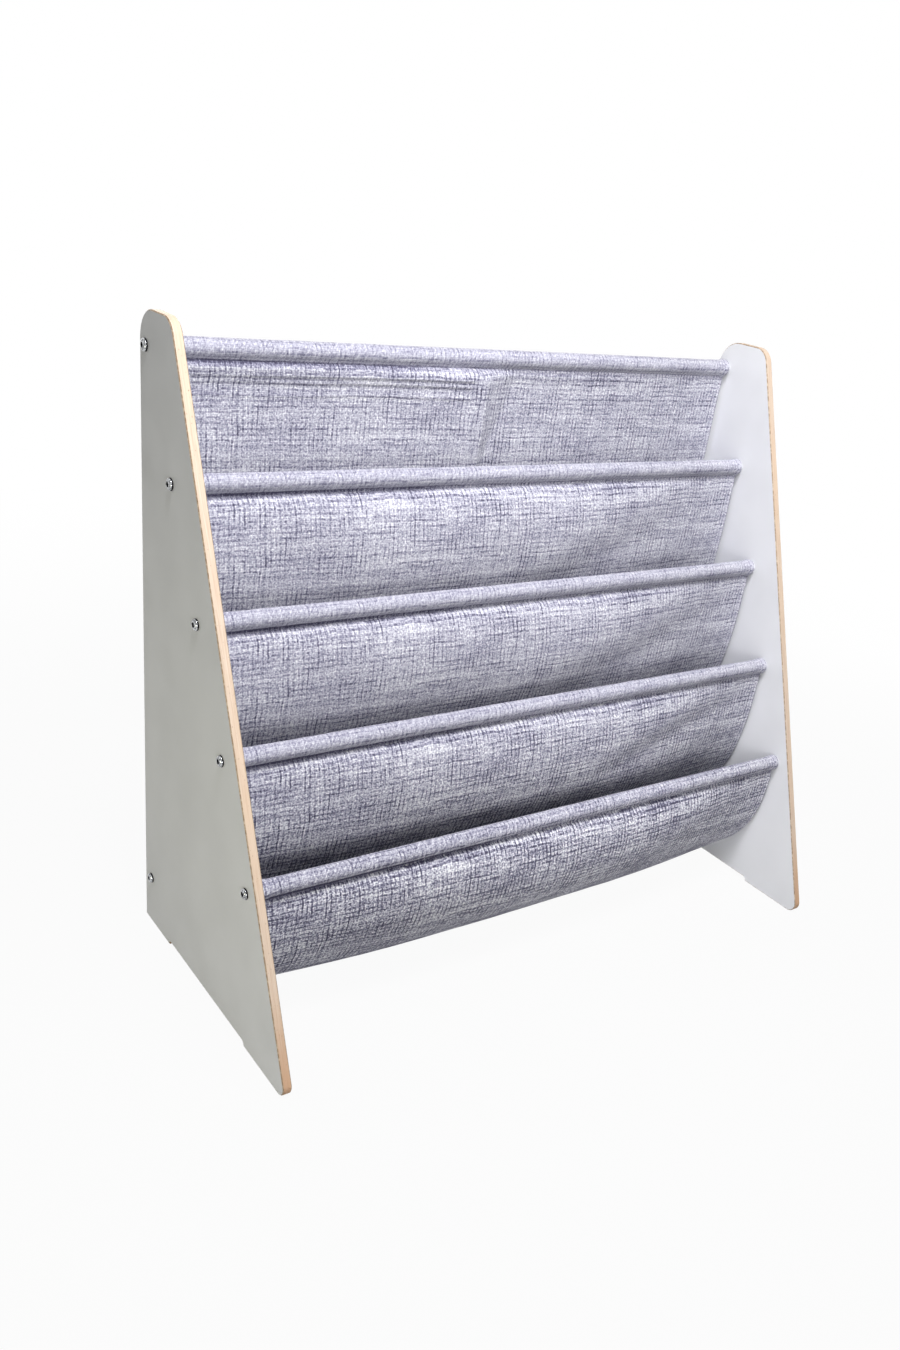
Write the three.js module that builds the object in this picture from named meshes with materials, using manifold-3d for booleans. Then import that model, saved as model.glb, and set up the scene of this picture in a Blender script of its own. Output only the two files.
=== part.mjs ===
// Sling bookshelf for children: two sloping side boards joined by six bolted rods,
// and a sewn cloth sling whose back sheet and four pockets hang on the rods.
// Millimetres. X runs along the rods, Y to the back, Z up.
// The origin is on the floor in the middle of the footprint.
import * as THREE from 'three';
import Module from 'manifold-3d';
import { mergeVertices } from 'three/addons/utils/BufferGeometryUtils.js';

// Side boards. Depths start at the point where the front and bottom edges would meet.
const boardSpan = 700;
const boardHeight = 598;
const boardDepth = 320;
const boardTopDepth = 63;
const boardThickness = 9;
const topRearRadius = 25;
const topFrontRadius = 20;
const bottomFrontRadius = 10;
const footRecessHeight = 4.5;
const frontFootLength = 84;
const rearFootLength = 62;

// Rods, their end plugs and their screws
const rodDiameter = 12.7;
const rodWall = 1;
const plugLength = 20;
const screwDiameter = 6;
const screwEngagement = 16;
const screwHeadDiameter = 10.5;
const screwHeadHeight = 3.3;
const screwHeadRim = 0.9;
const screwHeadFlat = 5.6;
const screwTipChamfer = 0.8;
const socketWidth = 4;
const socketDepth = 2;

// Places of the rods in the boards
const pocketCount = 4;
const topRodSetback = 12.5;
const topRodDrop = 28.3;
const lowRodSetback = 16;
const lowRodHeight = 54.5;
const firstRodHeight = 166;
const backrestHeight = 98.3;
const firstRodFrontSetback = 20.4;
const rodSetbackStep = 10.6;

// Cloth
const clothThickness = 1.5;
const clothEdgeGap = 4;
const stitchDrop = 1.5;
const hemLength = 12;
const seamFlange = 10;
const pocketDepth = 186;
const floorClearance = 17;
const pocketBow = 5;
const seamRise = 18;

// Folds of the cloth: how far each stands out, and how far it spreads
const sleeveFoldHeight = 3;
const sleeveFoldDrop = 6;
const creaseHeight = 3;
const creaseLeftSpread = 70;
const creaseRightSpread = 14;
const billowHeight = 4;

// Clearances
const fitGap = 0.3;
const boltHoleGap = 0.3;

// Shares that shape the pockets
const seamRiseShare = 0.2;
const floorPlaceShare = 0.46;
const frontBowShare = 0.48;
const floorFrontShares = [0.03, 0.09, 0.08, 0.13];
const floorRearShare = 0.2;
const seamFrontShare = 0.22;
const seamSlopeShare = 0.72;
const billowPlaceShares = [0.3, -0.1, -0.25, 0.05];
const billowSpreadShare = 0.5;
const pocketStationShares = [-1, -0.8, -0.6, -0.4, -0.2, 0, 0.2, 0.4, 0.6, 0.8, 1];
const backStationShares = [-1, -0.8, -0.6, -0.4, -0.2, -0.08, 0, 0.03, 0.1, 0.3, 0.55, 0.8, 1];
const backHeightPower = 1.7;

// Steps of the faceted surfaces
const arcSteps = 8;
const rodSides = 24;
const plugSides = 16;
const screwSides = 16;
const socketSides = 6;
const domeSteps = 3;
const sleeveSteps = 10;
const frontSteps = 11;
const floorSteps = 6;
const backSteps = 14;

const quarterTurn = Math.PI / 2;
const halfTurn = Math.PI;
const fullTurn = 2 * Math.PI;

// Materials
function finish(color, roughness, metalness) {
  return new THREE.MeshStandardMaterial({ color, roughness, metalness, side: THREE.DoubleSide });
}
const boardFinish = finish(0xe9e9ea, 0.5, 0);
const steelFinish = finish(0xb9bbbd, 0.35, 1);
const screwFinish = finish(0xc9cbcc, 0.25, 1);
const plugFinish = finish(0x8c8e90, 0.5, 1);
const clothFinish = finish(0xb7b7c6, 0.95, 0);

// Sizes that follow from the ones above
const frontLean = boardDepth - boardTopDepth;
const frontAngle = Math.atan2(boardHeight, frontLean);
const frontNormalAngle = frontAngle + quarterTurn;
const bottomFrontTangent = bottomFrontRadius / Math.tan(frontAngle / 2);
const topFrontTangent = topFrontRadius * Math.tan(frontAngle / 2);
const foremost = bottomFrontTangent - bottomFrontRadius;
const middleDepth = (foremost + boardDepth) / 2;
const outerFace = boardSpan / 2;
const innerFace = outerFace - boardThickness;
const rodEnd = innerFace - fitGap;
const rodRadius = rodDiameter / 2;
const rodBore = rodRadius - rodWall;
const plugRadius = rodBore - fitGap;
const screwRadius = screwDiameter / 2;
const screwHole = screwRadius + boltHoleGap;
const clothEnd = innerFace - clothEdgeGap;
const sleeveRadius = rodRadius + fitGap + clothThickness / 2;
const stitchLevel = sleeveRadius + stitchDrop;
const layerOffset = (clothThickness + fitGap) / 2;

const sides = [
  { name: 'left', sign: -1 },
  { name: 'right', sign: 1 },
];

function frontEdgeAt(height) {
  return (height * frontLean) / boardHeight;
}

// A rod's place is the depth and height of its centre.
function rodPlaces() {
  const topHeight = boardHeight - topRodDrop;
  const pitch = (topHeight - backrestHeight - firstRodHeight) / (pocketCount - 1);
  const places = [{ name: 'top', depth: boardDepth - topRodSetback, height: topHeight }];
  for (let i = pocketCount - 1; i >= 0; i -= 1) {
    const height = firstRodHeight + i * pitch;
    const depth = frontEdgeAt(height) + firstRodFrontSetback + i * rodSetbackStep;
    places.push({ name: `pocket_${pocketCount - i}`, depth, height });
  }
  places.push({ name: 'low_rear', depth: boardDepth - lowRodSetback, height: lowRodHeight });
  return places;
}
const rods = rodPlaces();
const topRod = rods[0];
const pocketRods = rods.slice(1, 1 + pocketCount);
const lowRod = rods[rods.length - 1];

const bookshelf = new THREE.Group();
bookshelf.position.y = -middleDepth;

function addMesh(parent, name, geometry, material) {
  const mesh = new THREE.Mesh(geometry, material);
  mesh.name = name;
  parent.add(mesh);
  return mesh;
}

// Turns a flat outline of depth and height, extruded upwards, to stand across X.
function standAcross(geometry) {
  const basis = new THREE.Matrix4().makeBasis(
    new THREE.Vector3(0, 1, 0),
    new THREE.Vector3(0, 0, 1),
    new THREE.Vector3(1, 0, 0),
  );
  return geometry.applyMatrix4(basis);
}

// Side board: rounded outline with two feet and six bolt holes
function boardOutline() {
  const r = footRecessHeight;
  const rearFootStart = boardDepth - rearFootLength;
  const shape = new THREE.Shape();
  shape.moveTo(bottomFrontTangent, 0);
  shape.lineTo(frontFootLength, 0);
  shape.absarc(frontFootLength + r, 0, r, halfTurn, quarterTurn, true);
  shape.absarc(rearFootStart - r, 0, r, quarterTurn, 0, true);
  shape.lineTo(boardDepth, 0);
  shape.absarc(boardDepth - topRearRadius, boardHeight - topRearRadius, topRearRadius, 0, quarterTurn, false);
  shape.absarc(
    frontLean + topFrontTangent,
    boardHeight - topFrontRadius,
    topFrontRadius,
    quarterTurn,
    frontNormalAngle,
    false,
  );
  shape.absarc(
    bottomFrontTangent,
    bottomFrontRadius,
    bottomFrontRadius,
    frontNormalAngle,
    halfTurn + quarterTurn,
    false,
  );
  return shape;
}

function boardGeometry() {
  const shape = boardOutline();
  for (const rod of rods) {
    const hole = new THREE.Path();
    hole.absarc(rod.depth, rod.height, screwHole, 0, fullTurn, true);
    shape.holes.push(hole);
  }
  return standAcross(
    new THREE.ExtrudeGeometry(shape, {
      depth: boardThickness,
      bevelEnabled: false,
      curveSegments: arcSteps,
    }),
  );
}

// Round tube with its axis on X, from X = 0
function tubeGeometry(outerRadius, innerRadius, length, sideCount) {
  const shape = new THREE.Shape();
  shape.absarc(0, 0, outerRadius, 0, fullTurn, false);
  const bore = new THREE.Path();
  bore.absarc(0, 0, innerRadius, 0, fullTurn, true);
  shape.holes.push(bore);
  return standAcross(
    new THREE.ExtrudeGeometry(shape, {
      depth: length,
      bevelEnabled: false,
      curveSegments: sideCount / 2,
    }),
  );
}

// Booleans work on closed meshes whose corners are shared.
const wasm = await Module();
wasm.setup();

function toSolid(geometry) {
  const bare = geometry.clone();
  bare.deleteAttribute('normal');
  bare.deleteAttribute('uv');
  const merged = mergeVertices(bare);
  return new wasm.Manifold(
    new wasm.Mesh({
      numProp: 3,
      vertProperties: new Float32Array(merged.attributes.position.array),
      triVerts: new Uint32Array(merged.index.array),
    }),
  );
}

function toGeometry(solid) {
  const mesh = solid.getMesh();
  const geometry = new THREE.BufferGeometry();
  geometry.setAttribute('position', new THREE.BufferAttribute(new Float32Array(mesh.vertProperties), 3));
  geometry.setIndex(new THREE.BufferAttribute(new Uint32Array(mesh.triVerts), 1));
  geometry.computeVertexNormals();
  return geometry;
}

// Button-head screw with a hexagon socket. Its axis is Y and its seat is at Y = 0.
function screwGeometry() {
  const shankLength = boardThickness + fitGap * 2 + screwEngagement;
  const headRadius = screwHeadDiameter / 2;
  const flatRadius = screwHeadFlat / 2;
  const profile = [
    new THREE.Vector2(0, -shankLength),
    new THREE.Vector2(screwRadius - screwTipChamfer, -shankLength),
    new THREE.Vector2(screwRadius, screwTipChamfer - shankLength),
    new THREE.Vector2(screwRadius, 0),
    new THREE.Vector2(headRadius, 0),
  ];
  for (let i = 0; i <= domeSteps; i += 1) {
    const angle = (i / domeSteps) * quarterTurn;
    const radius = flatRadius + (headRadius - flatRadius) * Math.cos(angle);
    const height = screwHeadRim + (screwHeadHeight - screwHeadRim) * Math.sin(angle);
    profile.push(new THREE.Vector2(radius, height));
  }
  profile.push(new THREE.Vector2(0, screwHeadHeight));
  const body = new THREE.LatheGeometry(profile, screwSides);
  const socketRadius = socketWidth / 2 / Math.cos(halfTurn / socketSides);
  const socket = new THREE.CylinderGeometry(socketRadius, socketRadius, socketDepth * 2, socketSides);
  socket.translate(0, screwHeadHeight, 0);
  return toGeometry(toSolid(body).subtract(toSolid(socket)));
}

// Cloth is a centre line of depth and height, thickened and carried along X.
function pointsOnArc(centre, radius, startAngle, endAngle, steps) {
  const points = [];
  for (let i = 0; i <= steps; i += 1) {
    const angle = startAngle + ((endAngle - startAngle) * i) / steps;
    points.push(new THREE.Vector2(centre.x + radius * Math.cos(angle), centre.y + radius * Math.sin(angle)));
  }
  return points;
}

function pointsOnCurve(corners, steps) {
  return new THREE.CubicBezierCurve(...corners).getPoints(steps);
}

// Sleeve round a rod, from the end of its turned-under hem to its stitch line.
// The cloth leaves the sleeve downwards for side = 1 and upwards for side = -1.
function sleeveLine(rod, side) {
  const centre = new THREE.Vector2(rod.depth, rod.height);
  const stitchReach = Math.hypot(layerOffset, stitchLevel);
  const openAngle = Math.acos(sleeveRadius / stitchReach) + Math.atan2(layerOffset, stitchLevel);
  const rearStart = -side * (quarterTurn - openAngle);
  const frontEnd = side * (halfTurn + quarterTurn - openAngle);
  const rear = rod.depth + layerOffset;
  const stitchHeight = rod.height - side * stitchLevel;
  return [
    new THREE.Vector2(rear, stitchHeight - side * hemLength),
    new THREE.Vector2(rear, stitchHeight),
    ...pointsOnArc(centre, sleeveRadius, rearStart, frontEnd, sleeveSteps),
    new THREE.Vector2(rod.depth - layerOffset, stitchHeight),
  ];
}

// Depth of the back sheet's centre line, which hangs straight between its two sleeves
function backSheetDepthAt(height) {
  const top = topRod.height - stitchLevel;
  const low = lowRod.height + stitchLevel;
  const share = (height - low) / (top - low);
  return lowRod.depth + (topRod.depth - lowRod.depth) * share - layerOffset;
}

// The back sheet stands out in a fold under the top sleeve, most at its left end, and in a
// crease down its middle that drops away sharply on the right. Both fade towards pocket 1.
function backSheetFold(x, height) {
  const top = topRod.height - stitchLevel;
  const low = pocketRods[0].height - pocketDepth / 2;
  const drop = top - height;
  if (drop <= 0 || height <= low) {
    return 0;
  }
  const fade = Math.cos((quarterTurn * drop) / (top - low));
  const foldShape = (drop / sleeveFoldDrop) * Math.exp(1 - drop / sleeveFoldDrop);
  const leftShare = (1 - x / clothEnd) / 2;
  const creaseShape = Math.exp(-Math.abs(x) / (x < 0 ? creaseLeftSpread : creaseRightSpread));
  const creaseStart = 1 - Math.exp(-drop / sleeveFoldDrop);
  return fade * (sleeveFoldHeight * leftShare * foldShape + creaseHeight * creaseShape * creaseStart);
}

function backSheetLine(x) {
  const top = topRod.height - stitchLevel;
  const low = lowRod.height + stitchLevel;
  const line = sleeveLine(topRod, 1);
  for (let i = 1; i < backSteps; i += 1) {
    const share = (i / backSteps) ** backHeightPower;
    const height = top + (low - top) * share;
    line.push(new THREE.Vector2(backSheetDepthAt(height) - backSheetFold(x, height), height));
  }
  return [...line, ...sleeveLine(lowRod, -1).reverse()];
}

// Lowest level of each pocket: a set depth under its rod, and for the last one over the floor
function pocketFloor(index) {
  return index === pocketCount - 1 ? floorClearance : pocketRods[index].height - pocketDepth;
}

// A pocket hangs from its sleeve, curves back along its floor and rises to a seam on the
// front of the back sheet, where its last stretch lies flat against that sheet.
function pocketLine(index, x) {
  const rod = pocketRods[index];
  const floor = pocketFloor(index);
  const start = new THREE.Vector2(rod.depth - layerOffset, rod.height - stitchLevel);
  const drop = start.y - floor;
  const reach = backSheetDepthAt(floor) - clothThickness - fitGap - start.x;
  const seamHeight = floor + seamRise + seamRiseShare * reach;
  const seamDepth = backSheetDepthAt(seamHeight) - clothThickness - fitGap;
  const lowest = new THREE.Vector2(start.x + floorPlaceShare * reach, floor);
  const front = pointsOnCurve(
    [
      start,
      new THREE.Vector2(start.x - pocketBow, start.y - frontBowShare * drop),
      new THREE.Vector2(start.x + floorFrontShares[index] * reach, floor),
      lowest,
    ],
    frontSteps,
  );
  const rear = pointsOnCurve(
    [
      lowest,
      new THREE.Vector2(lowest.x + floorRearShare * reach, floor),
      new THREE.Vector2(seamDepth - seamFrontShare * reach, seamHeight - seamSlopeShare * (seamHeight - floor)),
      new THREE.Vector2(seamDepth, seamHeight),
    ],
    floorSteps,
  );
  const flangeTop = seamHeight + seamFlange;
  const flangeDepth = backSheetDepthAt(flangeTop) - clothThickness - fitGap;
  const billowPlace = (x / clothEnd - billowPlaceShares[index]) / billowSpreadShare;
  const billow = billowHeight * Math.exp(-(billowPlace ** 2));
  for (let i = 1; i < front.length - 1; i += 1) {
    front[i].x -= billow * Math.sin((halfTurn * i) / (front.length - 1));
  }
  return [
    ...sleeveLine(rod, 1).slice(0, -1),
    ...front,
    ...rear.slice(1),
    new THREE.Vector2(flangeDepth, flangeTop),
  ];
}

// The two faces of the cloth lie half its thickness to each side of the centre line.
function offsetLine(line, distance) {
  return line.map((point, i) => {
    const before = line[Math.max(i - 1, 0)];
    const after = line[Math.min(i + 1, line.length - 1)];
    const into = (i > 0 ? point.clone().sub(before) : after.clone().sub(point)).normalize();
    const out = (i < line.length - 1 ? after.clone().sub(point) : point.clone().sub(before)).normalize();
    const along = into.clone().add(out).normalize();
    const mitre = distance / along.dot(into);
    return new THREE.Vector2(point.x - along.y * mitre, point.y + along.x * mitre);
  });
}

function clothGeometry(lineAt, stationShares) {
  const positions = [];
  const indices = [];
  const lastStation = stationShares.length - 1;
  let ring = 0;
  for (const share of stationShares) {
    const x = clothEnd * share;
    const line = lineAt(x);
    const faces = [offsetLine(line, clothThickness / 2), offsetLine(line, -clothThickness / 2).reverse()];
    const section = faces.flat();
    ring = section.length;
    for (const point of section) {
      positions.push(x, point.x, point.y);
    }
  }
  function addQuad(a, b, c, d) {
    indices.push(a, b, c, a, c, d);
  }
  for (let j = 0; j < lastStation; j += 1) {
    for (let i = 0; i < ring; i += 1) {
      const next = (i + 1) % ring;
      addQuad(j * ring + i, (j + 1) * ring + i, (j + 1) * ring + next, j * ring + next);
    }
  }
  const last = lastStation * ring;
  for (let i = 0; i < ring / 2 - 1; i += 1) {
    const partner = ring - 1 - i;
    addQuad(i, i + 1, partner - 1, partner);
    addQuad(last + i, last + partner, last + partner - 1, last + i + 1);
  }
  const geometry = new THREE.BufferGeometry();
  geometry.setAttribute('position', new THREE.BufferAttribute(new Float32Array(positions), 3));
  geometry.setIndex(indices);
  geometry.computeVertexNormals();
  return geometry;
}

function addBoards() {
  const geometry = boardGeometry();
  for (const side of sides) {
    const board = addMesh(bookshelf, `side_board_${side.name}`, geometry, boardFinish);
    board.position.x = side.sign > 0 ? innerFace : -outerFace;
  }
}

function addRods() {
  const geometry = tubeGeometry(rodRadius, rodBore, rodEnd * 2, rodSides);
  for (const rod of rods) {
    const tube = addMesh(bookshelf, `rod_${rod.name}`, geometry, steelFinish);
    tube.position.set(-rodEnd, rod.depth, rod.height);
  }
}

function addPlugs() {
  const geometry = tubeGeometry(plugRadius, screwHole, plugLength, plugSides);
  for (const rod of rods) {
    for (const side of sides) {
      const plug = addMesh(bookshelf, `rod_plug_${rod.name}_${side.name}`, geometry, plugFinish);
      const start = side.sign > 0 ? rodEnd - plugLength : -rodEnd;
      plug.position.set(start, rod.depth, rod.height);
    }
  }
}

function addScrews() {
  const geometry = screwGeometry();
  rods.forEach((rod, index) => {
    for (const side of sides) {
      const seat = new THREE.Group();
      seat.position.set(side.sign * (outerFace + fitGap), rod.depth, rod.height);
      seat.rotation.z = -side.sign * quarterTurn;
      const screw = addMesh(seat, `screw_${rod.name}_${side.name}`, geometry, screwFinish);
      screw.rotation.y = (index * fullTurn) / (rods.length * socketSides);
      bookshelf.add(seat);
    }
  });
}

function addCloth() {
  addMesh(bookshelf, 'back_sheet', clothGeometry(backSheetLine, backStationShares), clothFinish);
  for (let index = 0; index < pocketCount; index += 1) {
    const geometry = clothGeometry((x) => pocketLine(index, x), pocketStationShares);
    addMesh(bookshelf, `pocket_cloth_${index + 1}`, geometry, clothFinish);
  }
}

addBoards();
addRods();
addPlugs();
addScrews();
addCloth();

export default bookshelf;
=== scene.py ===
"""A child's sling bookshelf: two white faced boards, six rods and a grey linen sling with four pockets."""

import math

import bmesh
import bpy
import numpy as np
from mathutils import Matrix, Vector
from mathutils.geometry import tessellate_polygon


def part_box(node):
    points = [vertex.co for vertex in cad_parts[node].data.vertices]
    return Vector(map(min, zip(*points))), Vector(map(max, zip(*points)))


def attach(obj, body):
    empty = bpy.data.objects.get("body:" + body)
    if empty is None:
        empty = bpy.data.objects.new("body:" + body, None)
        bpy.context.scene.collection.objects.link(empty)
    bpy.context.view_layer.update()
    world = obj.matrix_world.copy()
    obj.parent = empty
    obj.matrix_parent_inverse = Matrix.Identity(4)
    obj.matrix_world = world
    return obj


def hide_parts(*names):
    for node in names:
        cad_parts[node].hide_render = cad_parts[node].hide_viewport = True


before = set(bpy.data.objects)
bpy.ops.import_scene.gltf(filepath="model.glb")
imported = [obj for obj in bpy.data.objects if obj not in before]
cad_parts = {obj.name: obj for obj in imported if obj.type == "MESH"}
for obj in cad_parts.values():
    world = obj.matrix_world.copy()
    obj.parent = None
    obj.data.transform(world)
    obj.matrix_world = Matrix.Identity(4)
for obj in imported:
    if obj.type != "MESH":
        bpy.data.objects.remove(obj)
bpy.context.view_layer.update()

MM = 0.001
SEED = 7
LATTICE = 64

# Boards, in metres
BOARD_DEPTH = 320 * MM
BOARD_TOP_DEPTH = 63 * MM
TOP_REAR_RADIUS = 25 * MM
TOP_FRONT_RADIUS = 20 * MM
BOTTOM_FRONT_RADIUS = 10 * MM
BOTTOM_REAR_RADIUS = 1.2 * MM
FOOT_RECESS = 4.5 * MM
FRONT_FOOT = 84 * MM
REAR_FOOT = 62 * MM
ARRIS = 0.9 * MM
SCREW_HOLE = 3.3 * MM
ARC_STEPS = 16
RECESS_STEPS = 6
SMALL_ARC_STEPS = 5
HOLE_SIDES = 24
HOLE_TURN = 0.09
MITRE_LIMIT = 0.3
SHARP_ANGLE = math.radians(35)
EDGE_DARKENING_HEIGHT = 110 * MM
STREAK_RATES = (28, 900)
PATCH_RATES = (9, 60)
SPECK_RATES = (420, 700)
FACE, EDGE, ARRIS_BAND = range(3)

# Screws
HEAD_RADIUS = 5.25 * MM
HEAD_HEIGHT = 3.3 * MM
HEAD_RIM = 0.9 * MM
HEAD_BEVEL = 0.3 * MM
HEAD_FLAT = 2.75 * MM
HEAD_GAP = 0.03 * MM
SOCKET_WIDTH = 4 * MM
SOCKET_DEPTH = 2 * MM
SOCKET_LIP = 0.2 * MM
SOCKET_POINT_SHARE = 0.2
SOCKET_POINT_DEPTH = 1.15 * SOCKET_DEPTH
SHANK_POINT_SHARE = 0.8
SHANK_RADIUS = 3 * MM
THREAD_ROOT = 2.55 * MM
THREAD_PITCH = 1 * MM
THREAD_LENGTH = 15 * MM
SHANK_LENGTH = 25.6 * MM
OUTER_FACE_PLANE = 350 * MM
SCREW_SIDES = 48
DOME_STEPS = 7
SOCKET_RINGS = 4
BEVEL_RINGS = 2
RIM_BANDS = 3

# Cloth. In a (cell, cell, height) triple the cells are those of its noise, across and along the cloth
CLOTH_THICKNESS = 1 * MM
CLOTH_END = 337 * MM
SLEEVE_RADIUS = 7.55 * MM
CREASE_DROP = 8.9 * MM
LAYER_OFFSET = 0.9 * MM
STITCH_DROP = 4.5 * MM
HEM_LENGTH = 12 * MM
SEAM_FLANGE = 10 * MM
SHEET_GAP = 1.8 * MM
SIDE_HEM = 8 * MM
SIDE_STITCH = 6.5 * MM
HEM_OUTWARD = 21.5 * MM
HEM_TURN_SOFTNESS = 1 * MM
HEM_THICKENING = 0.75
HEM_STEP_SOFTNESS = 0.35 * MM
HEM_STEP_LIMIT = 50
RIM_ROUNDNESS = 0.8
POCKET_COUNT = 4
POCKET_DEPTH = 186 * MM
FLOOR_CLEARANCE = 17 * MM
POCKET_BOW = 5 * MM
SEAM_RISE = 18 * MM
SEAM_RISE_SHARE = 0.2
FLOOR_PLACE_SHARE = 0.46
FRONT_BOW_SHARE = 0.48
FLOOR_FRONT_SHARES = (0.03, 0.09, 0.08, 0.13)
FLOOR_REAR_SHARE = 0.2
SEAM_FRONT_SHARE = 0.22
SEAM_SLOPE_SHARE = 0.72
BILLOW_HEIGHT = 17 * MM
BILLOW_PLACES = (-0.12, -0.15, -0.12, -0.05)
BILLOW_SPREAD = 0.85
BILLOW_SKEW = 0.56
SWELL_FADE = 0.6
FRONT_WAVES = (70 * MM, 45 * MM, 0.5 * MM)
FINE_WAVES = (24 * MM, 60 * MM, 0.12 * MM)
REAR_WAVES = (60 * MM, 30 * MM, 0.6 * MM)
BACK_WAVES = (80 * MM, 60 * MM, 0.7 * MM)
COLUMN_STEP = 4 * MM
EDGE_STEP = 1.3 * MM
EDGE_MARGIN = 2 * MM
FRONT_STEP = 3.2 * MM
FRONT_CURVE_SHARE = 1.15
REAR_CURVE_SHARE = 0.6
REAR_CURVE_POINTS = 6
FLAT_POINTS = 5
BACK_STEP = 5.2 * MM
FOLD_STEP = 0.9 * MM
FOLD_ZONE = 32 * MM
CREASE_ZONE = 26 * MM
REPEAT = 1e-6

# Point numbers along a sleeve's line: the hem's stitches, both ends of the roll, the sleeve's stitches
HEM_POINT = 3
ROLL_FIRST = 8
ROLL_LAST = 39
STITCH_POINT = 43

# Stitches and the cloth's relief beside them
STITCH_LENGTH = 2.6 * MM
STITCH_PITCH = 3.4 * MM
THREAD_RADIUS = 0.28 * MM
GRAIN_RINGS = ((-1.0, 0.25), (-0.55, 0.95), (0.0, 1.15), (0.55, 0.95), (1.0, 0.25))
GRAIN_SIDES = 6
GRAIN_SINK = 0.35
PINCH_DEPTH = 0.55 * MM
PINCH_WIDTH = 1.1 * MM
PUCKERS = (7 * MM, 30 * MM, 0.3 * MM)
PUCKER_REACH = 7 * MM
PUCKER_GAP = 1.4 * MM
HEM_GROOVE = 0.3 * MM
HEM_SWELL = 0.12 * MM
HEM_SWELL_INSET = 3.5 * MM
HEM_SWELL_WIDTH = 2.5 * MM
SLEEVE_LUMPS = (16 * MM, 11 * MM, 0.16 * MM)
SLEEVE_SLANTS = (6 * MM, 40 * MM, 0.22 * MM)
SLEEVE_SLANT = 0.8
SLEEVE_ENDS = 45 * MM

# Seeds of the noises. A pocket adds its index, and a sleeve takes the next one as well
FRONT_SEED, FINE_SEED, STITCH_SEED, SLEEVE_SEED, REAR_SEED = 10, 20, 30, 40, 50
BACK_SEED = 60
BACK_STITCH_SEEDS = (61, 62)
BACK_SLEEVE_SEEDS = (63, 64)
FOLD_EDGE_SEED = 65

# Soft folds of each pocket's front: from one (x, z) to another, width, height
POCKET_FOLDS = (
    (
        ((0.30, 0.44), (0.02, 0.34), 26 * MM, -3.4 * MM),
        ((-0.30, 0.45), (-0.20, 0.38), 22 * MM, -1.6 * MM),
        ((0.10, 0.455), (0.05, 0.36), 30 * MM, 1.6 * MM),
    ),
    (
        ((0.33, 0.34), (0.05, 0.25), 24 * MM, -3.6 * MM),
        ((-0.32, 0.35), (-0.18, 0.28), 22 * MM, -1.6 * MM),
        ((0.20, 0.355), (-0.05, 0.27), 26 * MM, 1.8 * MM),
    ),
    (
        ((0.33, 0.24), (0.08, 0.175), 17 * MM, -4.6 * MM),
        ((0.32, 0.255), (0.08, 0.215), 14 * MM, 1.8 * MM),
        ((-0.33, 0.25), (-0.16, 0.18), 24 * MM, -1.8 * MM),
    ),
    (
        ((0.33, 0.14), (0.12, 0.07), 22 * MM, -2.6 * MM),
        ((-0.33, 0.13), (-0.2, 0.06), 20 * MM, -1.2 * MM),
        ((0.05, 0.13), (-0.1, 0.06), 30 * MM, 1.4 * MM),
    ),
)
SOFT_FOLD_FADE = 0.7

# Packing fold, its echoes below and the lengthwise crease of the back sheet
FOLD_HEIGHT = 4.5 * MM
FOLD_DROP = 4.5 * MM
FOLD_EDGES = ((11 * MM, 2.2 * MM), (17 * MM, 1.7 * MM), (28 * MM, 0.9 * MM))
FOLD_FALL = 1.1 * MM
FOLD_RISE = 7 * MM
FOLD_END = 24 * MM
FOLD_END_SOFTNESS = 2 * MM
FOLD_LEFT_LOSS = 0.6
FOLD_LEFT_REACH = 120 * MM
FOLD_EDGE_WANDER = 1.2 * MM
FOLD_EDGE_CELL = 70 * MM
CREASE_HEIGHT = 12 * MM
CREASE_LEFT = 75 * MM
CREASE_PLACE = -7 * MM
CREASE_RIGHT_TOP = 46 * MM
CREASE_RIGHT_LOW = 16 * MM
CREASE_NARROWING = 0.4
CREASE_RIGHT_CURVE = 1.3

# Weave, in metres of cloth: each direction's noise offset and the darkness and patches of its runs
YARN_PITCH = 1.6 * MM
SLUB_LENGTH = 11 * MM
LINE_LENGTH = 18 * MM
WARP_LINES = (3.0, 1.15, (0.05, 33))
WEFT_LINES = (57.0, 1.0, (0.16, 17))
SLUB_RATE = 7.31
RUN_RATE = 3.17
DARK_YARN_EVERY = 3.0
OWN_SHARE = 0.25
SLUB_SHADE = 0.14
YARN_LEVEL = -0.12
LEAST_DYE = 0.55
RUN_VALUES = (0.3, 0.62, 0.3, 1.0)
PATCH_VALUES = (0.35, 0.65, 0.35, 1.0)
WEAVE_SWAY = 5 * MM
SWAY_SCALE = 36
CROSSING_SOFTNESS = 0.35
YARN_SHARE = 0.8
UPPER_YARN_SHARE = 0.35
BODY_SHARE = 0.2
RELIEF_SHARE = 0.25
FLECK_SHARE = 0.4
FIBRE_SCALE = 540
FIBRE_SHARE = 4.0
CLOUD_SCALE = 16
CLOUD_SHARE = 0.2
BAND_RATES = (11, 110)
BAND_SHARE = 1.3
WEAVE_MIDDLE = 3.36
WEAVE_LEVEL = 0.59
CONTRAST_LOW = 0.7
CONTRAST_HIGH = 0.35
CONTRAST_HEIGHTS = (0.04, 0.32)
ROLL_START = 12 * MM
ROLL_END = 58 * MM
ROLL_FADE = 2 * MM
HATCH_SLANT = 0.8
HATCH_RATES = (520, 70)
HATCH_MIDDLE = 0.56
HATCH_SHARE = 1.1
HATCH_WEAVE_SHARE = 0.6
# Painted shade: a dark band along the seam under each roll, strongest on the left and fading to its least
# on the right
SEAM_PLACE = 59.8 * MM
PAINTED_SEAM_SHADE = 1.6
PAINTED_SEAM_SHADE_LEAST = 0.15 * PAINTED_SEAM_SHADE
PAINTED_SEAM_SHADE_ENDS = (-0.3, 0.1)
PAINTED_SEAM_SHADE_HALF_WIDTH = 4 * MM

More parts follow.
